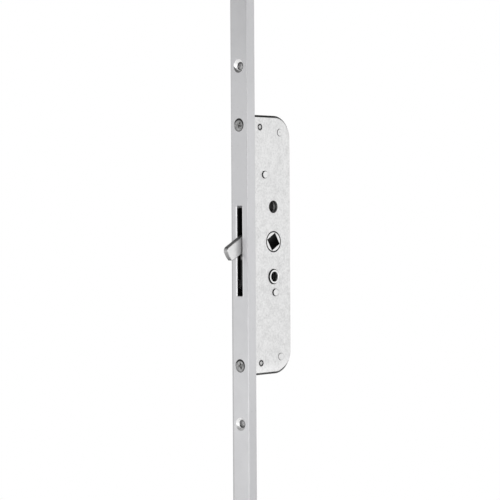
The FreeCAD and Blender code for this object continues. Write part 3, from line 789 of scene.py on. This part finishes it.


# Case plates: painted shade on the cut edges at the top and bottom, fading round the rear corners

caseEdgeShade = {
    "corner": (26.0, 65.5),  # the Y and Z of the corners' middle
    "bend": 14.0,  # their radius
    "least": 0.1,  # a shorter way from their middle counts as this where it is divided by
    "rim": 1.36,  # how wide the painted shade on the edge is
    "outer": 4.45,  # it shows beyond this X
    "upright": (0.1, 0.7),  # where it begins and is full, by the share of height in the way there
    "rimShadeColour": (0.05, 0.05, 0.05),
    "glowAway": (6.0, 10.5),  # the painted highlight band begins and is full this far from the middle
    "glowUpright": (0.4, 0.8),  # and with this share of height
    "glow": 0.28,
    "lowerWide": 7.0,  # how much wider the painted shade on the lower edge gets
    "lowerPower": 6.0,  # how near to upright that happens
    "lowerShift": 0.17,  # how much sooner it ends
    "insideFrom": 1.9,  # the inside lies behind this Y
    "insideRim": 1.22,  # this far in from the bend
    "between": 4.52,  # and nearer to the middle plane than this
    "wall": (0.5, 0.2),  # the X of the normal where the wall of a hole begins and is full
}


def paintCaseShade(tree, colour, at, facing):
    p = caseEdgeShade
    cornerY, cornerZ = p["corner"]
    height = past(tree, absolute(tree, at["Z"]), cornerZ)
    away = longSide(tree, height, past(tree, at["Y"], cornerY))
    upright = mathNode(tree, "DIVIDE", height, atLeast(tree, away, p["least"]))
    outer = isOver(tree, absolute(tree, at["X"]), p["outer"])

    # at the lower end the painted shade on the edges is wider round the corner, and a painted highlight
    # band lies beside it
    lower = isUnder(tree, at["Z"], 0.0)
    glow = times(tree, slope(tree, away, *p["glowAway"]), lower, slope(tree, upright, *p["glowUpright"]))
    colour = mixColour(tree, times(tree, glow, p["glow"]), colour, highlightAndPaleColour)
    wide = times(tree, minus(tree, 1.0, upright), lower, mathNode(tree, "POWER", upright, p["lowerPower"]))
    wide = plus(tree, away, times(tree, wide, p["lowerWide"]))
    upright = minus(tree, upright, times(tree, lower, p["lowerShift"]))
    shadedRim = isOver(tree, wide, p["bend"] - p["rim"])
    # painted shade on the cut edges
    cut = times(tree, slope(tree, upright, *p["upright"]), shadedRim, outer)
    colour = mixColour(tree, cut, colour, p["rimShadeColour"])

    # painted shade on the inside, and on the walls of the holes in the plates
    deep = times(tree, isOver(tree, at["Y"], p["insideFrom"]),
                 isUnder(tree, away, p["bend"] - p["insideRim"]))
    between = isUnder(tree, absolute(tree, at["X"]), p["between"])
    wall = either(tree, slope(tree, facing["X"], *p["wall"]), between)
    return mixColour(tree, times(tree, wall, deep), colour, shadeAndSpeckColour)


# Hook: painted shade on its side towards the root and on the arm, and on its upper edge and nose by the way
# they face

# each group of values is where it begins, where it is full and how strong it gets
hookShade = {
    "root": (7.0, 0.3, 0.52),  # by the distance out of the forend's face
    "lit": (1.0, 0.0, 0.45),  # how much less of it is left next to that face
    "armBelow": (7.8, 9.4),  # the arm lies this far below the middle
    "armBehind": (0.6, 1.8),  # and this far behind the face
    "armDark": 0.9,
    "top": (0.5, 0.8, 0.66),  # by the Z of the normal
    "nose": (0.45, 0.75, 0.45),  # by the Y of the normal
}


def paintHookShade(tree, colour, at, facing):
    p = hookShade
    front = atMost(tree, at["Y"], 0.0)
    back = atLeast(tree, at["Y"], 0.0)
    root = minus(tree, slope(tree, front, *p["root"]), slope(tree, front, *p["lit"]))
    colour = mixColour(tree, root, colour, shadeAndSpeckColour)
    below = slope(tree, atMost(tree, at["Z"], 0.0), *p["armBelow"])
    arm = times(tree, slope(tree, back, *p["armBehind"]), below, p["armDark"])
    colour = mixColour(tree, arm, colour, shadeAndSpeckColour)
    colour = mixColour(tree, slope(tree, facing["Z"], *p["top"]), colour, shadeAndSpeckColour)
    return mixColour(tree, slope(tree, facing["Y"], *p["nose"]), colour, shadeAndSpeckColour)


# Forend: painted shade on the flanks, high up, down the left edge and up the right one

# each group of values is where it begins, where it is full and how strong it gets
forendShade = {
    "flank": 6.97,  # the flanks lie beyond this X
    "flankShade": 0.06,
    "flankFar": (60.0, 115.0, 0.09),  # by the distance from the middle of the part
    "faceHigh": (80.0, 150.0, 0.12),
    "edgeDeep": 0.6,  # the edges of the face reach this deep
    "leftLine": (5.5, 5.9),
    "leftShade": 0.06,
    "leftFrom": 40.0,  # the painted shade on the left edge grows below this height
    "leftLower": (0.0, 80.0, 0.2),
    "rightEdge": 6.5,
    "rightFrom": -90.0,  # the painted shade on the right edge grows above this height
    "rightHigher": (0.0, 85.0, 0.2),
}


def paintForendShade(tree, colour, at):
    p = forendShade
    far = slope(tree, at["Z"], *p["flankFar"])
    flank = isOver(tree, absolute(tree, at["X"]), p["flank"])
    flank = times(tree, flank, plus(tree, far, p["flankShade"]))
    colour = mixColour(tree, flank, colour, shadeAndSpeckColour)
    start, full, amount = p["faceHigh"]
    high = slope(tree, atLeast(tree, at["Z"], 0.0), start, full)
    high = times(tree, high, isUnder(tree, at["X"], p["flank"]), amount)
    colour = mixColour(tree, high, colour, shadeAndSpeckColour)
    front = isUnder(tree, at["Y"], p["edgeDeep"])
    lower = slope(tree, past(tree, p["leftFrom"], at["Z"]), *p["leftLower"])
    left = slope(tree, atMost(tree, at["X"], 0.0), *p["leftLine"])
    left = times(tree, left, front, plus(tree, lower, p["leftShade"]))
    colour = mixColour(tree, left, colour, shadeAndSpeckColour)
    higher = slope(tree, past(tree, at["Z"], p["rightFrom"]), *p["rightHigher"])
    right = times(tree, isOver(tree, at["X"], p["rightEdge"]), front, higher)
    return mixColour(tree, right, colour, shadeAndSpeckColour)


# A finish: plating, edges and painted shade, then its own painted shade, specks, and boxes and rings of
# painted light and shade

def finishColour(tree, name, p, masks, place, facing):
    at = splitVector(tree, place)
    blotch, edge, shadeAndDust = masks
    colour = mixColour(tree, blotch, p["shade"], p["base"])
    # edges take the edge colour, as rubbed metal and partly as a painted highlight
    colour = mixColour(tree, times(tree, edge, p["edgeAmount"]), colour, p["edge"])
    # painted shade in sheltered corners
    colour = mixColour(tree, shadeAndDust, colour, p["shadeAndDustColour"])
    if p["side"]:
        # painted shade on the walls of a head or collar, which leaves its flat end as it is
        colour = mixColour(tree, slope(tree, facing["X"], *wallShadeSlope, p["side"]), colour, shadeAndSpeckColour)
    if name == "case":
        colour = paintCaseShade(tree, colour, at, facing)
    if name == "hook":
        colour = paintHookShade(tree, colour, at, facing)
    if name == "forend":
        colour = paintForendShade(tree, colour, at)
    if p["specks"]:
        spots = noiseNode(tree, place, speckPlan["scale"], speckPlan["detail"], speckPlan["broken"])
        spots = slope(tree, spots, speckPlan["from"], speckPlan["full"], p["specks"])
        colour = mixColour(tree, spots, colour, shadeAndSpeckColour)
    for box in paintedHighlightBoxes.get(name, []):
        colour = mixColour(tree, boxMask(tree, at, *box), colour, p["edge"])
    for box in paintedShadeBoxes.get(name, []):
        colour = mixColour(tree, boxMask(tree, at, *box), colour, shadeAndSpeckColour)
    for ring in highlightAndPaleRings.get(name, []):
        colour = mixColour(tree, ringMask(tree, at, *ring), colour, highlightAndPaleColour)
    for ring in paintedShadeRings.get(name, []):
        colour = mixColour(tree, ringMask(tree, at, *ring), colour, shadeAndSpeckColour)
    return colour


def finishRoughness(tree, p, blotch, shadeAndDust):
    spread = times(tree, minus(tree, blotch, 0.5), -2 * p["roughVary"])
    dusty = times(tree, shadeAndDust, p["dustRough"])
    return mathNode(tree, "ADD", plus(tree, spread, dusty), p["rough"], clamp=True)


def finishBump(tree, p, height, normal):
    bump = tree.nodes.new("ShaderNodeBump")
    bump.inputs["Strength"].default_value = p["bump"]
    bump.inputs["Distance"].default_value = p["bumpHeight"] * mm
    tree.links.new(height, bump.inputs["Height"])
    tree.links.new(normal, bump.inputs["Normal"])
    return bump.outputs["Normal"]


def makeFinish(name):
    p = dict(plainFinish)
    p.update(finishes[name])
    material = bpy.data.materials.new(name + "Finish")
    material.use_nodes = True
    tree = material.node_tree
    coord = tree.nodes.new("ShaderNodeTexCoord")
    toMm = tree.nodes.new("ShaderNodeMapping")
    toMm.inputs["Scale"].default_value = (1 / mm, 1 / mm, 1 / mm)
    tree.links.new(coord.outputs["Object"], toMm.inputs["Vector"])
    place = toMm.outputs["Vector"]
    facing = splitVector(tree, coord.outputs["Normal"])

    blotch = placeGroup(tree, "blotch", place, Scale=p["blotch"], Speckle=p["speckle"])["Mask"]
    grain = placeGroup(tree, "grain", place, Scale=p["grain"], Stretch=p["stretch"])["Height"]
    edge = placeGroup(tree, "edge", Radius=p["edgeRadius"] * mm)
    shadeAndDust = placeGroup(tree, "shadeAndDust", Distance=p["shadeAndDustReach"] * mm, Amount=p["shadeAndDust"])["Mask"]

    shader = tree.nodes["Principled BSDF"]
    shader.inputs["Metallic"].default_value = p["metal"]
    colour = finishColour(tree, name, p, (blotch, edge["Mask"], shadeAndDust), place, facing)
    tree.links.new(colour, shader.inputs["Base Color"])
    tree.links.new(finishRoughness(tree, p, blotch, shadeAndDust), shader.inputs["Roughness"])
    tree.links.new(finishBump(tree, p, grain, edge["Normal"]), shader.inputs["Normal"])
    return material


materials = {name: makeFinish(name) for name in finishes}
slotFinish = {"inner_steel": "shadedInnerSteel"}  # the other slots have the names of their finishes
nodeFinish = {"upper_screw_sleeve": "bore", "upper_rod": "rods", "lower_rod": "rods"}
pieceFinish = ((screwPiece, "screws"), (lugPair, "lugRivets"), (rearPair, "rearRivets"),
               (guideRivet, "rivets"), (tieRivet, "rivets"), (sleevePiece, "sleeves"),
               (guidePiece, "guides"))


def dress(piece, finish):
    piece.data.materials.clear()
    piece.data.materials.append(materials[finish])


for subpart in frame["record"]["subparts"]:
    slotName = subpart["material_slot"]
    finish = nodeFinish.get(subpart["node"], slotFinish.get(slotName, slotName))
    dress(frame["nodes"][subpart["node"]], finish)
for piece, finish in pieceFinish:
    dress(piece, finish)
print("finishes placed")


# Floor: pale, and plain white to the camera further out

# lengths in metres
floorPlan = {
    "size": 60.0,
    "height": -0.2856,  # just below the part's lower end
    "nearRadius": 0.25,  # it starts to turn white here
    "farRadius": 0.65,
    "white": 0.86,
    "rough": 0.8,
}


def makeFloor():
    p = floorPlan
    deselectAll()
    bpy.ops.mesh.primitive_plane_add(size=p["size"], location=(0, 0, p["height"]))
    floor = bpy.context.active_object
    floor.name = "floor"
    material = bpy.data.materials.new("paleFloor")
    material.use_nodes = True
    tree = material.node_tree
    shader = tree.nodes["Principled BSDF"]
    shader.inputs["Base Color"].default_value = (p["white"], p["white"], p["white"], 1)
    shader.inputs["Roughness"].default_value = p["rough"]
    white = tree.nodes.new("ShaderNodeEmission")
    coord = tree.nodes.new("ShaderNodeTexCoord")
    length = tree.nodes.new("ShaderNodeVectorMath")
    length.operation = "LENGTH"
    tree.links.new(coord.outputs["Object"], length.inputs[0])
    far = rampNode(tree, length.outputs["Value"], p["nearRadius"], p["farRadius"], kind="LINEAR")
    path = tree.nodes.new("ShaderNodeLightPath").outputs
    seen = mathNode(tree, "ADD", path["Is Camera Ray"], path["Is Glossy Ray"], clamp=True)
    mix = tree.nodes.new("ShaderNodeMixShader")
    tree.links.new(times(tree, seen, far), mix.inputs[0])
    tree.links.new(shader.outputs[0], mix.inputs[1])
    tree.links.new(white.outputs[0], mix.inputs[2])
    tree.links.new(mix.outputs[0], tree.nodes["Material Output"].inputs["Surface"])
    floor.data.materials.append(material)


makeFloor()


# Light: soft lamps, and a room that is white at eye level and darker above and below

# lengths in metres
studio = {
    "ambient": 0.75,  # how bright the even room is for soft rays
    "bandFrom": 0.25,  # the white band fades between these, by the height of a direction
    "bandTo": 0.75,
    "darkUp": 0.10,
    "keyFrom": 1.0,  # the key light's mirror image begins here, by the direction's nearness to it
    "keyBright": 3.0,
    "keyDrop": 1.7,  # how fast that image ends upwards
    "lamps": (
        {"name": "sideSoft", "place": (0.85, 0.06, 0.02), "size": (0.8, 0.8), "power": 3.0},
        {"name": "frontSoft", "place": (-0.2, -0.6, -0.18), "size": (0.5, 0.18), "power": 0.46},
        {"name": "keySoft", "place": (0.62, -0.62, 0.03), "size": (0.25, 0.4), "power": 0.9},
    ),
}


def makeLamp(p):
    light = bpy.data.lights.new(p["name"], "AREA")
    light.shape = "RECTANGLE"
    light.size, light.size_y = p["size"]
    light.energy = p["power"]
    lamp = bpy.data.objects.new(p["name"], light)
    bpy.context.scene.collection.objects.link(lamp)
    lamp.location = p["place"]
    towards = -Vector(p["place"])
    lamp.rotation_euler = towards.to_track_quat("-Z", "Y").to_euler()


def makeWorld():
    p = studio
    world = bpy.data.worlds.new("studioWorld")
    bpy.context.scene.world = world
    world.use_nodes = True
    tree = world.node_tree
    coord = tree.nodes.new("ShaderNodeTexCoord")
    at = splitVector(tree, coord.outputs["Generated"])
    band = rampNode(tree, absolute(tree, at["Z"]), p["bandFrom"], p["bandTo"], 1.0, p["darkUp"])

    # the corner between face and side looks at the key light, and mirrors it
    corner = minus(tree, minus(tree, at["X"], at["Y"]), times(tree, at["Z"], p["keyDrop"]))
    key = rampNode(tree, corner, p["keyFrom"], math.sqrt(2), 1.0, p["keyBright"])

    # camera rays see plain white, mirror rays the bright band, soft rays an even room
    path = tree.nodes.new("ShaderNodeLightPath").outputs
    glossy = times(tree, path["Is Glossy Ray"], times(tree, band, key))
    clear = either(tree, path["Is Camera Ray"], path["Is Transmission Ray"])
    soft = minus(tree, 1.0, either(tree, path["Is Glossy Ray"], clear))
    strength = plus(tree, either(tree, glossy, clear), times(tree, soft, p["ambient"]))
    ground = tree.nodes["Background"].inputs
    ground["Color"].default_value = (1, 1, 1, 1)
    tree.links.new(strength, ground["Strength"])


for lampPlan in studio["lamps"]:
    makeLamp(lampPlan)
makeWorld()


# Camera, at the photograph's angle

# lengths in metres, but for the lens and the sensor
viewPoint = {
    "azimuth": 45.0,
    "distance": 1.020,
    "height": 0.022,
    "aim": (0.00453, 0.00453, -0.00272),
    "roll": -0.34,
    "lens": 120.75,
    "sensor": 36.0,
    "nearest": 0.05,
    "furthest": 100.0,
}


def makeCamera():
    p = viewPoint
    data = bpy.data.cameras.new("viewCamera")
    data.lens = p["lens"]
    data.sensor_width = p["sensor"]
    data.clip_start = p["nearest"]
    data.clip_end = p["furthest"]
    camera = bpy.data.objects.new("viewCamera", data)
    bpy.context.scene.collection.objects.link(camera)
    side = math.radians(p["azimuth"])
    camera.location = (math.sin(side) * p["distance"], -math.cos(side) * p["distance"], p["height"])
    look = Vector(p["aim"]) - camera.location
    turn = look.to_track_quat("-Z", "Y").to_matrix().to_4x4()
    turn = turn @ Matrix.Rotation(math.radians(p["roll"]), 4, "Z")
    camera.rotation_euler = turn.to_euler()
    bpy.context.scene.camera = camera


makeCamera()
bpy.context.scene.view_settings.view_transform = "Standard"
print("stage set")
